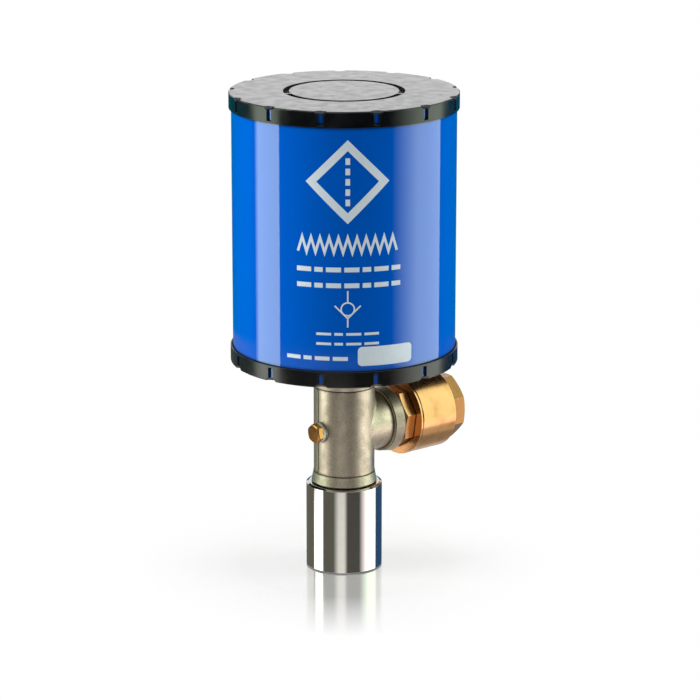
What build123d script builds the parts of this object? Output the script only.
from build123d import *
import os
from math import cos, hypot, radians, sin

# Tank breather valve: a spin-on filter canister on a pipe tee, with a spring
# check valve on the tee's branch and a pipe coupling underneath.
# Lengths are in millimetres. The origin is the centre of the coupling's lower
# face, +Z is up and +X points along the branch, out of the check valve.

# Pipe threads are drawn plain at their pitch radius.
PIPE_THREAD = 15.73             # 1 in pipe thread
LARGE_THREAD = 23.14            # 1 1/2 in pipe thread
SMALL_THREAD = 4.74             # 1/8 in pipe thread
THREAD_CLEARANCE = 0.05         # radial gap between a drawn thread and its mate
THREAD_RUNOUT = 1.2             # thread left past a nipple's end in the tee
SEAT_GAP = 0.05                 # radial gap where one piece is set into another
THREAD_LEAD_IN = 0.8            # countersink at the mouth of a female thread

# Tank coupling
COUPLING_WALL = 4.31            # outside the thread
COUPLING_LENGTH = 63.0
COUPLING_BEVEL = 2.0            # radial width of the sloped rim
COUPLING_BEVEL_DROP = 0.9
COUPLING_COUNTERSINK = 0.41     # widening of the thread at the rim
TANK_THREAD_LENGTH = 27.0       # from the lower face to the thread relief
THREAD_RELIEF_LENGTH = 8.0
THREAD_RELIEF_DEPTH = 1.0

# Reducing bushing inside the coupling's mouth
BUSHING_LENGTH = 20.0
BUSHING_INSET = 0.9             # below the coupling's rim
BUSHING_CHAMFER = 1.2

# Nipples
NIPPLE_ENGAGEMENT = 17.0        # thread length screwed into each fitting
NIPPLE_WALL = 2.43              # under the thread
NIPPLE_CHAMFER = 0.6
NIPPLE_TIP_GAP = 1.0            # branch nipple's end to the valve's web

# Pipe tee
TEE_GAP = 0.8                   # coupling's rim to the tee's lower face
TEE_RUN_REACH = 39.6            # centre to each end of the run
TEE_BRANCH_REACH = 38.0         # centre to the end of the branch
TEE_BORE_STEP = 1.13            # plain passage inside the thread
TEE_WALL = 7.0                  # outside the plain passage
TEE_BRANCH_STEP = 0.6           # branch thinner than the run
TEE_BLEND_RADIUS = 4.0          # cast fillet between branch and run
BAND_LENGTH = 8.0               # end band of the run
BRANCH_BAND_LENGTH = 8.4
BRANCH_BAND_SWELL = 0.9         # branch's band beyond the run's, all along
BAND_FOOT_RISE = 0.7            # band's foot above the pipe
BAND_RISE = 2.0                 # band's widest place above the pipe
BAND_FACE_RISE = 1.7            # band's end face above the pipe
BAND_FACE_CHAMFER = 0.7
BAND_GROOVE_WIDTH = 0.8
BAND_GROOVE_DEPTH = 0.7
PAD_RISE = 0.4                  # side pad above the run
PAD_DIRECTIONS = (90.0, -90.0)  # middle of each pad, degrees from the branch
PAD_EDGE_ANGLE = 8.6            # pad edge from the parting plane, degrees
PAD_ROOT = 2.0                  # pad's inner face outside the plain passage
PAD_CORNER_RADIUS = 3.5

# Plug in the tee's fourth port
PLUG_BOSS_RADIUS = 7.2
PLUG_BOSS_RISE = 0.9            # above the run
PLUG_RING_RADIUS = 6.7
PLUG_RING_THICKNESS = 2.0
PLUG_HEAD_FLATS = 12.7
PLUG_HEAD_HEIGHT = 4.3
PLUG_HEAD_TURN = 12.0           # degrees that the hexagon is turned
PLUG_SHANK_LENGTH = 9.0
PLUG_CHAMFER = 0.6

# Check valve, inlet half
VALVE_GAP = 2.4                 # tee branch to the valve's octagon
INLET_FLATS = 43.6
INLET_FLATS_LENGTH = 8.8
INLET_FLATS_TURN = 10.0         # degrees past upright, as the joint was tightened
OCTAGON_FACE_INSET = 0.4        # turned face inside the flats
OCTAGON_CHAMFER_SLOPE = 0.55    # drop of the turned corners per radius
FLANGE_OVERHANG = 0.2           # flange outside the body
FLANGE_THICKNESS = 1.4
SPIGOT_RADIUS = 24.4            # drawn thread that joins the two halves
SPIGOT_LENGTH = 7.0
INLET_THREAD_DEPTH = 14.6
SEAT_RADIUS = 12.5              # clear bore of the seat
SEAT_LIP_WIDTH = 1.4
SEAT_LIP_HEIGHT = 0.6

# Check valve, outlet half
BODY_GASKET_INSET = 1.6         # dark ring inside the body's outline
BODY_GASKET_THICKNESS = 0.5
BODY_RADIUS = 29.0
BODY_BARREL_LENGTH = 32.6
BODY_SHOULDER = 0.8
OUTLET_FLATS = 46.5
OUTLET_FLATS_LENGTH = 13.2
CHAMBER_STEP = 1.0              # chamber inside the joining thread
THROAT_RADIUS = 17.0
EXHAUST_THREAD_DEPTH = 16.4

# Poppet, spring and guide
POPPET_LIFT = 6.0
SEAL_THICKNESS = 1.4
SEAL_OVERLAP = 1.7              # soft ring beyond the seat's lip
DISC_THICKNESS = 2.6
DISC_LIP = 0.5                  # height of the disc's rim round the soft ring
DISC_LIP_WIDTH = 0.6
RETAINER_GAP = 1.7              # retainer inside the seat's bore
RETAINER_THICKNESS = 1.4
RETAINER_SCREW_RADIUS = 3.6
RETAINER_SCREW_HEIGHT = 2.2
STEM_RADIUS = 2.5
STEM_CLEARANCE = 0.05
STEM_TAIL = 2.0                 # stem beyond the guide's hub at rest
SPRING_WIRE = 0.8
SPRING_WIRE_SIDES = 8           # the round wire is drawn with flat sides to keep it light
SPRING_NOSE_GAP = 1.2           # spring outside the guide's nose
SPRING_TURNS = 4.5
SPRING_SPARE = 1.4              # spring travel left when the poppet is fully open
SPRING_GAP = 0.1
GUIDE_THICKNESS = 2.0
GUIDE_RIM_WIDTH = 3.0
GUIDE_SPOKES = 3
GUIDE_SPOKE_WIDTH = 3.2
GUIDE_SEAT_RADIUS = 8.0
GUIDE_NOSE_WALL = 2.05
GUIDE_NOSE_LENGTH = 2.5

# Canister
GASKET_THICKNESS = 2.4
GASKET_WIDTH = 4.2
GASKET_BORE_GAP = 0.5
HUB_DROP = 9.7                  # hub below the canister's lower face
HUB_FLATS = 41.3
HUB_COLLAR_RADIUS = 23.9
HUB_FLANGE_RADIUS = 30.0
HUB_FLANGE_THICKNESS = 2.5
HUB_SPIGOT_RADIUS = 18.4
HUB_SPIGOT_LENGTH = 3.0
NIPPLE_IN_HUB = 17.6            # thread length of the spin-on joint
CANISTER_HEIGHT = 194.9
SHELL_RADIUS = 79.7
SHELL_WALL = 0.9
SHELL_INSET = 2.4               # shell's end below the cap's outer face
CAP_OVERHANG = 1.8              # cap outside the shell
CAP_HEIGHT = 11.3
CAP_PLATE = 5.5
CAP_EDGE_ROUND = 0.8
CAP_MOUTH_CHAMFER = 0.5
NOTCH_COUNT = 13
NOTCH_WIDTH = 4.0
NOTCH_MOUTH_BAND = 1.4          # cap material left at the mouth below a slot
NOTCH_FIRST_ANGLE = -141.6      # one slot's direction, degrees
SCALLOP_WIDTH = 9.8
SCALLOP_RISE = 2.71             # centre of the ball that cuts it, above the face
SCALLOP_REACH = 3.9             # scallop's depth from the rim, on the face
RING_GROOVE_RADIUS = 43.1
RING_GROOVE_WIDTH = 4.3
RING_GROOVE_DEPTH = 2.6
RING_WEB_WIDTH = 2.0
RING_WEB_ANGLES = (-203.0, -57.0)
VENT_EDGE_GAP = 3.2             # window inside the shell's wall
VENT_WIDTH = 8.0
VENT_SPAN = 15.0                # degrees between a window's end centres
SCREEN_THICKNESS = 0.6
SCREEN_MARGIN = 1.4             # screen beyond the window, each side
SCREEN_LINER_GAP = 1.3          # outer liner inside the screen
OUTER_LINER_WALL = 0.7
HUB_LINER_GAP = 3.0             # inner liner outside the hub's flange
INNER_LINER_WALL = 0.8
LINER_COLUMNS = 10
LINER_ROWS = 8
LINER_OPEN_SHARE = 0.6          # window's share of its cell
MEDIA_GAP = 0.2
PLEAT_COUNT = 48
PLEAT_SHEET = 6.0               # sheet thickness, measured along a radius

# Radii that follow from others
PIPE_BORE = PIPE_THREAD - NIPPLE_WALL
COUPLING_RADIUS = LARGE_THREAD + COUPLING_WALL
COUPLING_MOUTH = LARGE_THREAD + COUPLING_COUNTERSINK
TEE_BORE = PIPE_THREAD - TEE_BORE_STEP
TEE_RUN_RADIUS = TEE_BORE + TEE_WALL
TEE_BRANCH_RADIUS = TEE_RUN_RADIUS - TEE_BRANCH_STEP
PLUG_SEAT = TEE_RUN_RADIUS + PLUG_BOSS_RISE
FLANGE_RADIUS = BODY_RADIUS + FLANGE_OVERHANG
BODY_GASKET_RADIUS = BODY_RADIUS - BODY_GASKET_INSET
CHAMBER_RADIUS = SPIGOT_RADIUS - CHAMBER_STEP
SEAL_RADIUS = SEAT_RADIUS + SEAT_LIP_WIDTH + SEAL_OVERLAP
DISC_RADIUS = SEAL_RADIUS + DISC_LIP_WIDTH
RETAINER_RADIUS = SEAT_RADIUS - RETAINER_GAP
GUIDE_NOSE_RADIUS = STEM_RADIUS + STEM_CLEARANCE + GUIDE_NOSE_WALL
SPRING_RADIUS = GUIDE_NOSE_RADIUS + SPRING_NOSE_GAP + SPRING_WIRE / 2
CAP_RADIUS = SHELL_RADIUS + CAP_OVERHANG
VENT_PITCH_RADIUS = SHELL_RADIUS - SHELL_WALL - VENT_EDGE_GAP - VENT_WIDTH / 2
SCREEN_HALF_WIDTH = VENT_WIDTH / 2 + SCREEN_MARGIN
OUTER_LINER_RADIUS = VENT_PITCH_RADIUS - SCREEN_HALF_WIDTH - SCREEN_LINER_GAP
INNER_LINER_RADIUS = HUB_FLANGE_RADIUS + HUB_LINER_GAP + INNER_LINER_WALL

# Levels along Z
TEE_LOW = COUPLING_LENGTH + TEE_GAP
BRANCH_LEVEL = TEE_LOW + TEE_RUN_REACH
TEE_TOP = BRANCH_LEVEL + TEE_RUN_REACH
HUB_LOW = TEE_TOP + GASKET_THICKNESS
CANISTER_LOW = HUB_LOW + HUB_DROP
CANISTER_TOP = CANISTER_LOW + CANISTER_HEIGHT
MEDIA_LOW = CANISTER_LOW + CAP_PLATE
MEDIA_TOP = CANISTER_TOP - CAP_PLATE

# Places along X, measured from the tee's centre
OCTAGON_START = TEE_BRANCH_REACH + VALVE_GAP
FLANGE_START = OCTAGON_START + INLET_FLATS_LENGTH
FLANGE_END = FLANGE_START + FLANGE_THICKNESS
SPIGOT_END = FLANGE_END + SPIGOT_LENGTH
SEAT_FACE = SPIGOT_END + SEAT_LIP_HEIGHT
SEAL_END = SEAT_FACE + SEAL_THICKNESS
DISC_END = SEAL_END + DISC_THICKNESS
SPRING_LENGTH = SPRING_TURNS * SPRING_WIRE + POPPET_LIFT + SPRING_SPARE
GUIDE_START = DISC_END + SPRING_LENGTH
GUIDE_END = GUIDE_START + GUIDE_THICKNESS
BODY_START = FLANGE_END + BODY_GASKET_THICKNESS
BARREL_END = BODY_START + BODY_BARREL_LENGTH
VALVE_END = BARREL_END + OUTLET_FLATS_LENGTH
EXHAUST_THREAD_START = VALVE_END - EXHAUST_THREAD_DEPTH

HALF_OCTAGON = 22.5             # degrees from a flat's middle to its corner
MALE_THREAD = PIPE_THREAD - THREAD_CLEARANCE
OVERRUN = 1.0                   # how far a cutting shape runs past a face


def turned(points):
    """Solid of revolution about Z from (radius, height) points."""
    outline = Plane.XZ * make_face(Polyline(*points, close=True))
    return revolve(outline, Axis.Z)


def on_branch(shape):
    """Lay a shape that was made along Z along the tee's branch."""
    return Pos(0, 0, BRANCH_LEVEL) * Rot(0, 90, 0) * shape


def rod(radius, low, high):
    """Plain cylinder along Z between two heights."""
    return Pos(0, 0, low) * extrude(Circle(radius), high - low)


def ring(outer, inner, low, high):
    """Plain ring along Z between two heights."""
    return rod(outer, low, high) - rod(inner, low - OVERRUN, high + OVERRUN)


def prism(flats, sides, low, high, turn=0):
    """Prism along Z with a regular outline given across its flats."""
    outline = RegularPolygon(flats / 2, sides, major_radius=False, rotation=turn)
    return Pos(0, 0, low) * extrude(outline, high - low)


def sector_wall(outer, inner, low, high, middle, span):
    """Block of a ring that spans an angle either side of a direction."""
    outline = make_face(
        Polyline((0, 0), polar(2 * outer, middle - span / 2), polar(2 * outer, middle),
                 polar(2 * outer, middle + span / 2), close=True)
    )
    wedge = Pos(0, 0, low) * extrude(outline, high - low)
    return ring(outer, inner, low, high) & wedge


def polar(radius, angle):
    """Point of the XY plane at a radius and an angle in degrees."""
    return (radius * cos(radians(angle)), radius * sin(radians(angle)))


def threaded_mouth(thread, end, inward):
    """Countersink for a female thread whose mouth is at the height end."""
    wide = thread + THREAD_LEAD_IN
    past = end - inward * OVERRUN
    return turned([(0, past), (wide, past), (wide, end), (thread, end + inward * THREAD_LEAD_IN),
                   (0, end + inward * THREAD_LEAD_IN)])


def nipple(low, high):
    """Threaded pipe between two heights, chamfered at both ends."""
    blank = ring(MALE_THREAD, PIPE_BORE, low, high)
    rims = blank.edges().filter_by(GeomType.CIRCLE).group_by(SortBy.RADIUS)[-1]
    return chamfer(rims, NIPPLE_CHAMFER)


def tank_coupling():
    """Machined coupling: sloped rims, two threads and a relief between them."""
    bevel_start = COUPLING_RADIUS - COUPLING_BEVEL
    relief_low = TANK_THREAD_LENGTH
    relief_high = relief_low + THREAD_RELIEF_LENGTH
    relief = LARGE_THREAD + THREAD_RELIEF_DEPTH
    mouth = COUPLING_MOUTH - LARGE_THREAD
    return turned([
        (LARGE_THREAD, 0),
        (bevel_start, 0),
        (COUPLING_RADIUS, COUPLING_BEVEL_DROP),
        (COUPLING_RADIUS, COUPLING_LENGTH - COUPLING_BEVEL_DROP),
        (bevel_start, COUPLING_LENGTH),
        (COUPLING_MOUTH, COUPLING_LENGTH),
        (LARGE_THREAD, COUPLING_LENGTH - mouth),
        (LARGE_THREAD, relief_high + THREAD_RELIEF_DEPTH),
        (relief, relief_high),
        (relief, relief_low + THREAD_RELIEF_DEPTH),
        (LARGE_THREAD, relief_low),
    ])


def reducer_bushing():
    """Flush bushing, set just below the coupling's rim."""
    top = COUPLING_LENGTH - BUSHING_INSET
    low = top - BUSHING_LENGTH
    outer = LARGE_THREAD - THREAD_CLEARANCE
    body = turned([
        (PIPE_THREAD, low),
        (outer - BUSHING_CHAMFER, low),
        (outer, low + BUSHING_CHAMFER),
        (outer, top),
        (PIPE_THREAD, top),
    ])
    return body - threaded_mouth(PIPE_THREAD, top, -1)


def band(radius, reach, length):
    """Flared end band on a pipe along Z: a groove, the flare and a chamfered face."""
    foot = reach - length
    foot_radius = radius + BAND_FOOT_RISE
    groove_end = foot + BAND_GROOVE_WIDTH
    return turned([
        (0, foot - BAND_GROOVE_WIDTH),
        (foot_radius, foot),
        (foot_radius - BAND_GROOVE_DEPTH, foot),
        (foot_radius - BAND_GROOVE_DEPTH, groove_end),
        (foot_radius, groove_end),
        (radius + BAND_RISE, reach - BAND_FACE_CHAMFER),
        (radius + BAND_FACE_RISE, reach),
        (0, reach),
    ])


def tee_port(reach):
    """Cutting shape of one end: plain passage, thread and countersink along Z."""
    passage = rod(TEE_BORE, 0, reach)
    thread = rod(PIPE_THREAD, reach - NIPPLE_ENGAGEMENT - THREAD_RUNOUT, reach + OVERRUN)
    return passage + thread + threaded_mouth(PIPE_THREAD, reach, -1)


def tee_pad(direction):
    """Raised side pad between the end bands, with rounded corners."""
    half_height = TEE_RUN_REACH - BAND_LENGTH
    wall = sector_wall(TEE_RUN_RADIUS + PAD_RISE, TEE_BORE + PAD_ROOT, -half_height, half_height,
                       direction, 180 - 2 * PAD_EDGE_ANGLE)
    corners = [edge for edge in wall.edges().filter_by(GeomType.LINE)
               if abs(edge.tangent_at(0).Z) < 0.01]
    return fillet(corners, PAD_CORNER_RADIUS)


def tee_body():
    """Cast tee: blended run and branch, bands, pads, plug boss and bores."""
    run_half = TEE_RUN_REACH - BAND_LENGTH
    run = rod(TEE_RUN_RADIUS, -run_half, run_half)
    branch = Rot(0, 90, 0) * rod(TEE_BRANCH_RADIUS, 0, TEE_BRANCH_REACH - BRANCH_BAND_LENGTH)
    body = run + branch
    seam = body.edges().filter_by(lambda edge: edge.geom_type not in (GeomType.LINE, GeomType.CIRCLE))
    body = fillet(seam, TEE_BLEND_RADIUS)
    run_band = band(TEE_RUN_RADIUS, TEE_RUN_REACH, BAND_LENGTH)
    body += run_band
    body += Rot(180, 0, 0) * run_band
    body += Rot(0, 90, 0) * band(TEE_RUN_RADIUS + BRANCH_BAND_SWELL, TEE_BRANCH_REACH, BRANCH_BAND_LENGTH)
    for direction in PAD_DIRECTIONS:
        body += tee_pad(direction)
    body += Rot(0, -90, 0) * rod(PLUG_BOSS_RADIUS, 0, PLUG_SEAT)
    body -= tee_port(TEE_RUN_REACH)
    body -= Rot(180, 0, 0) * tee_port(TEE_RUN_REACH)
    body -= Rot(0, 90, 0) * tee_port(TEE_BRANCH_REACH)
    body -= Rot(0, -90, 0) * rod(SMALL_THREAD, 0, PLUG_SEAT + OVERRUN)
    return Pos(0, 0, BRANCH_LEVEL) * body


def on_plug_port(shape):
    """Lay a shape that was made along Z along the plug's port."""
    return Pos(0, 0, BRANCH_LEVEL) * Rot(0, -90, 0) * shape


def plug_seal_ring():
    """Sealing ring between the boss and the plug's head."""
    return on_plug_port(ring(PLUG_RING_RADIUS, SMALL_THREAD, PLUG_SEAT, PLUG_SEAT + PLUG_RING_THICKNESS))


def port_plug():
    """Hexagon-head plug with its shank in the tee's wall."""
    seat = PLUG_SEAT + PLUG_RING_THICKNESS
    top = seat + PLUG_HEAD_HEIGHT
    head = prism(PLUG_HEAD_FLATS, 6, seat, top, PLUG_HEAD_TURN)
    crown = turned([
        (0, seat),
        (PLUG_HEAD_FLATS, seat),
        (PLUG_HEAD_FLATS / 2 + PLUG_CHAMFER, top - PLUG_CHAMFER),
        (PLUG_HEAD_FLATS / 2 - PLUG_CHAMFER, top),
        (0, top),
    ])
    shank = rod(SMALL_THREAD - THREAD_CLEARANCE, seat - PLUG_RING_THICKNESS - PLUG_SHANK_LENGTH, seat)
    tip = shank.edges().filter_by(GeomType.CIRCLE).sort_by(Axis.Z)[0]
    shank = chamfer(tip, PLUG_CHAMFER)
    return on_plug_port((head & crown) + shank)


def octagon(flats, base, face, turn=0.0):
    """Octagon along Z whose corners are turned off at the end called face."""
    stock = prism(flats, 8, min(base, face), max(base, face), HALF_OCTAGON + turn)
    corner = flats / 2 / cos(radians(HALF_OCTAGON)) + OVERRUN
    turned_radius = flats / 2 - OCTAGON_FACE_INSET
    inward = 1 if base > face else -1
    cone_drop = (corner - turned_radius) * OCTAGON_CHAMFER_SLOPE
    return stock & turned([(0, base), (corner, base), (corner, face + inward * cone_drop),
                           (turned_radius, face), (0, face)])


def valve_inlet_end():
    """Inlet half of the check valve: octagon, flange, spigot and valve seat."""
    body = octagon(INLET_FLATS, FLANGE_START, OCTAGON_START, INLET_FLATS_TURN)
    body += rod(FLANGE_RADIUS, FLANGE_START, FLANGE_END)
    body += rod(SPIGOT_RADIUS - THREAD_CLEARANCE, FLANGE_END, SPIGOT_END)
    body += rod(SEAT_RADIUS + SEAT_LIP_WIDTH, SPIGOT_END, SEAT_FACE)
    body -= rod(PIPE_THREAD, OCTAGON_START - OVERRUN, OCTAGON_START + INLET_THREAD_DEPTH)
    body -= threaded_mouth(PIPE_THREAD, OCTAGON_START, 1)
    body -= rod(SEAT_RADIUS, OCTAGON_START, SEAT_FACE + OVERRUN)
    return on_branch(body)


def valve_body_gasket():
    """Thin ring between the flange and the body."""
    return on_branch(ring(BODY_GASKET_RADIUS, SPIGOT_RADIUS, FLANGE_END, BODY_START))


def valve_body():
    """Outlet half of the check valve: round body, chamber and octagon end."""
    barrel = turned([
        (0, BODY_START),
        (BODY_RADIUS - BODY_SHOULDER, BODY_START),
        (BODY_RADIUS, BODY_START + BODY_SHOULDER),
        (BODY_RADIUS, BARREL_END - BODY_SHOULDER),
        (BODY_RADIUS - BODY_SHOULDER, BARREL_END),
        (0, BARREL_END),
    ])
    body = barrel + octagon(OUTLET_FLATS, BARREL_END, VALVE_END)
    body -= rod(SPIGOT_RADIUS, BODY_START - OVERRUN, SPIGOT_END)
    body -= rod(CHAMBER_RADIUS, SPIGOT_END, GUIDE_END)
    body -= rod(THROAT_RADIUS, GUIDE_END, EXHAUST_THREAD_START)
    body -= rod(PIPE_THREAD, EXHAUST_THREAD_START, VALVE_END + OVERRUN)
    body -= threaded_mouth(PIPE_THREAD, VALVE_END, -1)
    return on_branch(body)


def stem_guide():
    """Spider that carries the spring and guides the poppet's stem."""
    rim_outer = CHAMBER_RADIUS - SEAT_GAP
    rim_inner = rim_outer - GUIDE_RIM_WIDTH
    body = ring(rim_outer, rim_inner, GUIDE_START, GUIDE_END)
    body += rod(GUIDE_SEAT_RADIUS, GUIDE_START, GUIDE_END)
    body += rod(GUIDE_NOSE_RADIUS, GUIDE_START - GUIDE_NOSE_LENGTH, GUIDE_END + GUIDE_NOSE_LENGTH)
    reach = (rim_outer + rim_inner) / 2
    for index in range(GUIDE_SPOKES):
        spoke = Pos(reach / 2, 0, (GUIDE_START + GUIDE_END) / 2) * Box(reach, GUIDE_SPOKE_WIDTH, GUIDE_THICKNESS)
        body += Rot(0, 0, index * 360 / GUIDE_SPOKES) * spoke
    tail = GUIDE_END + GUIDE_NOSE_LENGTH + OVERRUN
    body -= rod(STEM_RADIUS + STEM_CLEARANCE, GUIDE_START - GUIDE_NOSE_LENGTH - OVERRUN, tail)
    return on_branch(body)


def valve_poppet():
    """Disc with a rim round the soft ring, and the stem behind it."""
    body = rod(DISC_RADIUS, SEAL_END - DISC_LIP, DISC_END)
    body -= rod(SEAL_RADIUS, SEAL_END - DISC_LIP - OVERRUN, SEAL_END)
    body += rod(STEM_RADIUS, SEAL_END, GUIDE_END + GUIDE_NOSE_LENGTH + STEM_TAIL)
    return on_branch(body)


def poppet_seal():
    """Soft ring that meets the seat's lip."""
    hole = RETAINER_SCREW_RADIUS
    return on_branch(ring(SEAL_RADIUS - SEAT_GAP, hole, SEAT_FACE, SEAL_END))


def seal_retainer():
    """Round plate inside the seat's bore, with the screw head that holds it."""
    plate = rod(RETAINER_RADIUS, SEAT_FACE - RETAINER_THICKNESS, SEAT_FACE)
    head_low = SEAT_FACE - RETAINER_THICKNESS - RETAINER_SCREW_HEIGHT
    head = rod(RETAINER_SCREW_RADIUS, head_low, SEAT_FACE - RETAINER_THICKNESS)
    shank = rod(RETAINER_SCREW_RADIUS - SEAT_GAP, SEAT_FACE, SEAL_END)
    return on_branch(plate + head + shank)


def valve_spring():
    """Closing spring round the stem, between disc and guide."""
    half_wire = SPRING_WIRE / 2
    low = DISC_END + half_wire + SPRING_GAP
    height = SPRING_LENGTH - SPRING_WIRE - 2 * SPRING_GAP
    path = Helix(height / SPRING_TURNS, height, SPRING_RADIUS)
    section = Plane(origin=path @ 0, z_dir=path % 0) * RegularPolygon(half_wire, SPRING_WIRE_SIDES)
    return on_branch(Pos(0, 0, low) * sweep(section, path, is_frenet=True))


def notch_angle(index):
    """Direction of one rim slot in degrees."""
    return NOTCH_FIRST_ANGLE + index * 360 / NOTCH_COUNT


def cap_notch(angle):
    """Rim slot over the shell, with the scallop above it."""
    slot_inner = SHELL_RADIUS - SHELL_WALL / 2
    slot_length = CAP_RADIUS - slot_inner + OVERRUN
    slot_height = CAP_HEIGHT - NOTCH_MOUTH_BAND
    slot = Pos(slot_inner + slot_length / 2, 0, -slot_height / 2) * Box(slot_length, NOTCH_WIDTH, slot_height)
    ball_radius = hypot(SCALLOP_WIDTH / 2, SCALLOP_RISE)
    ball = Pos(CAP_RADIUS - SCALLOP_REACH + SCALLOP_WIDTH / 2, 0, SCALLOP_RISE) * Sphere(ball_radius)
    return Rot(0, 0, angle) * (slot + ball)


def end_cap_blank():
    """Notched cap with its outer face at Z = 0 and its mouth below."""
    pot_outer = SHELL_RADIUS + SEAT_GAP
    pot_inner = SHELL_RADIUS - SHELL_WALL - SEAT_GAP
    blank = turned([
        (0, 0),
        (CAP_RADIUS, 0),
        (CAP_RADIUS, -CAP_HEIGHT),
        (pot_outer + CAP_MOUTH_CHAMFER, -CAP_HEIGHT),
        (pot_outer, -CAP_HEIGHT + CAP_MOUTH_CHAMFER),
        (pot_outer, -SHELL_INSET),
        (pot_inner, -SHELL_INSET),
        (pot_inner, -CAP_PLATE),
        (0, -CAP_PLATE),
    ])
    rim = blank.edges().filter_by(GeomType.CIRCLE).sort_by(Axis.Z).group_by(Axis.Z)[-1]
    blank = fillet(rim, CAP_EDGE_ROUND)
    for index in range(NOTCH_COUNT):
        blank -= cap_notch(notch_angle(index))
    return blank


def top_end_cap():
    """Closed cap with a ring groove that two webs bridge."""
    groove = ring(RING_GROOVE_RADIUS, RING_GROOVE_RADIUS - RING_GROOVE_WIDTH, -RING_GROOVE_DEPTH, OVERRUN)
    for angle in RING_WEB_ANGLES:
        web = Pos(RING_GROOVE_RADIUS, 0, 0) * Box(4 * RING_GROOVE_WIDTH, RING_WEB_WIDTH, 4 * RING_GROOVE_DEPTH)
        groove -= Rot(0, 0, angle) * web
    return Pos(0, 0, CANISTER_TOP) * (end_cap_blank() - groove)


def bottom_end_cap():
    """Cap with the hub's hole and a ring of air inlet windows."""
    blank = mirror(end_cap_blank(), Plane.XY)
    blank -= rod(HUB_COLLAR_RADIUS + SEAT_GAP, -OVERRUN, CAP_PLATE + OVERRUN)
    half_pitch = 180 / NOTCH_COUNT
    for index in range(NOTCH_COUNT):
        start = notch_angle(index) + half_pitch - VENT_SPAN / 2
        window = SlotArc(CenterArc((0, 0), VENT_PITCH_RADIUS, start, VENT_SPAN), VENT_WIDTH)
        blank -= Pos(0, 0, -OVERRUN) * extrude(window, CAP_PLATE + 2 * OVERRUN)
    return Pos(0, 0, CANISTER_LOW) * blank


def canister_shell():
    """Rolled steel tube, its ends set into both caps."""
    return ring(SHELL_RADIUS, SHELL_RADIUS - SHELL_WALL, CANISTER_LOW + SHELL_INSET, CANISTER_TOP - SHELL_INSET)


def inlet_screen():
    """Flat annular screen that lies over the inlet windows."""
    outer = VENT_PITCH_RADIUS + SCREEN_HALF_WIDTH
    inner = VENT_PITCH_RADIUS - SCREEN_HALF_WIDTH
    return ring(outer, inner, MEDIA_LOW, MEDIA_LOW + SCREEN_THICKNESS)


def perforated_liner(radius, wall):
    """Tube between the caps with rows of windows."""
    body = ring(radius, radius - wall, MEDIA_LOW, MEDIA_TOP)
    cell_height = (MEDIA_TOP - MEDIA_LOW) / LINER_ROWS
    cell_angle = 360 / LINER_COLUMNS
    window_width = 2 * radius * sin(radians(cell_angle * LINER_OPEN_SHARE / 2))
    window = Box(radius, window_width, cell_height * LINER_OPEN_SHARE)
    for column in range(LINER_COLUMNS):
        places = [Pos(radius, 0, MEDIA_LOW + (row + 0.5) * cell_height) for row in range(LINER_ROWS)]
        windows = [place * window for place in places]
        body -= Rot(0, 0, column * cell_angle) * Part(children=windows)
    return body


def pleated_media():
    """Filter sheet folded to and fro between the two liners."""
    outer = OUTER_LINER_RADIUS - OUTER_LINER_WALL - MEDIA_GAP
    inner = INNER_LINER_RADIUS + MEDIA_GAP
    half_pleat = 180 / PLEAT_COUNT
    outside = []
    inside = []
    for index in range(PLEAT_COUNT):
        crest = 2 * index * half_pleat
        valley = crest + half_pleat
        outside += [polar(outer, crest), polar(inner + PLEAT_SHEET, valley)]
        inside += [polar(outer - PLEAT_SHEET, crest), polar(inner, valley)]
    sheet = make_face(Polyline(*outside, close=True)) - make_face(Polyline(*inside, close=True))
    return Pos(0, 0, MEDIA_LOW) * extrude(sheet, MEDIA_TOP - MEDIA_LOW)


def outlet_hub():
    """Threaded hub: wrench hexagon, collar in the cap, flange and spigot."""
    top = MEDIA_LOW + HUB_FLANGE_THICKNESS + HUB_SPIGOT_LENGTH
    body = prism(HUB_FLATS, 6, HUB_LOW, CANISTER_LOW)
    body += rod(HUB_COLLAR_RADIUS, CANISTER_LOW, MEDIA_LOW)
    body += rod(HUB_FLANGE_RADIUS, MEDIA_LOW, MEDIA_LOW + HUB_FLANGE_THICKNESS)
    body += rod(HUB_SPIGOT_RADIUS, MEDIA_LOW + HUB_FLANGE_THICKNESS, top)
    body -= rod(PIPE_THREAD, HUB_LOW - OVERRUN, top + OVERRUN)
    return body - threaded_mouth(PIPE_THREAD, HUB_LOW, 1)


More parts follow.
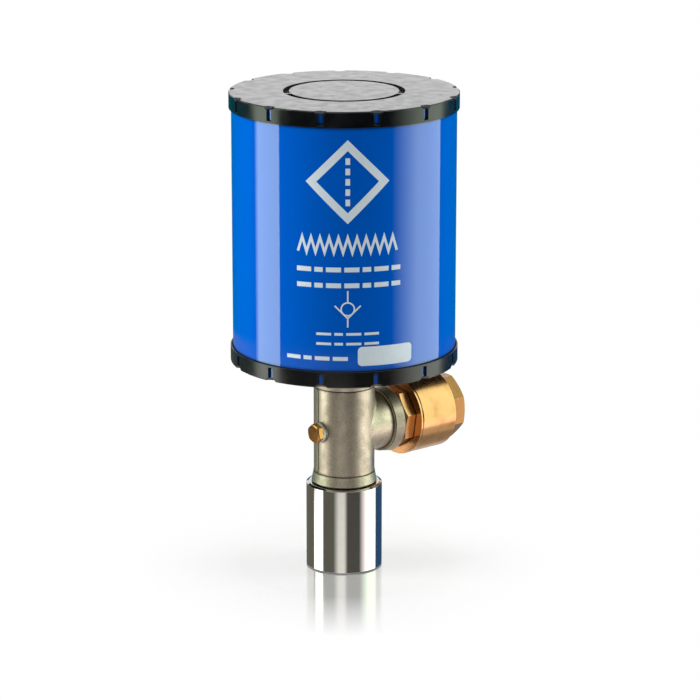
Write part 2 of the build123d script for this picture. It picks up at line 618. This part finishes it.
def hub_gasket():
    """Flat ring between the tee's top face and the hub."""
    bore = PIPE_THREAD + THREAD_LEAD_IN + GASKET_BORE_GAP
    return ring(bore + GASKET_WIDTH, bore, TEE_TOP, HUB_LOW)


def coupling_nipple():
    """Nipple from the bushing up into the tee."""
    bushing_top = COUPLING_LENGTH - BUSHING_INSET
    return nipple(bushing_top - NIPPLE_ENGAGEMENT, TEE_LOW + NIPPLE_ENGAGEMENT)


def canister_nipple():
    """Nipple from the tee up into the canister's hub."""
    return nipple(TEE_TOP - NIPPLE_ENGAGEMENT, HUB_LOW + NIPPLE_IN_HUB)


def branch_nipple():
    """Nipple from the tee's branch into the check valve."""
    end = OCTAGON_START + INLET_THREAD_DEPTH - NIPPLE_TIP_GAP
    return on_branch(nipple(TEE_BRANCH_REACH - NIPPLE_ENGAGEMENT, end))


def all_pieces():
    """Every piece by name."""
    return {
        "tank_coupling": tank_coupling(),
        "reducer_bushing": reducer_bushing(),
        "coupling_nipple": coupling_nipple(),
        "tee_body": tee_body(),
        "port_plug": port_plug(),
        "plug_seal_ring": plug_seal_ring(),
        "branch_nipple": branch_nipple(),
        "valve_inlet_end": valve_inlet_end(),
        "valve_body_gasket": valve_body_gasket(),
        "valve_body": valve_body(),
        "stem_guide": stem_guide(),
        "valve_poppet": valve_poppet(),
        "poppet_seal": poppet_seal(),
        "seal_retainer": seal_retainer(),
        "valve_spring": valve_spring(),
        "canister_nipple": canister_nipple(),
        "hub_gasket": hub_gasket(),
        "outlet_hub": outlet_hub(),
        "bottom_end_cap": bottom_end_cap(),
        "inlet_screen": inlet_screen(),
        "outer_liner": perforated_liner(OUTER_LINER_RADIUS, OUTER_LINER_WALL),
        "pleated_media": pleated_media(),
        "inner_liner": perforated_liner(INNER_LINER_RADIUS, INNER_LINER_WALL),
        "canister_shell": canister_shell(),
        "top_end_cap": top_end_cap(),
    }


os.makedirs("parts", exist_ok=True)
for name, piece in all_pieces().items():
    export_step(piece, f"parts/{name}.step")
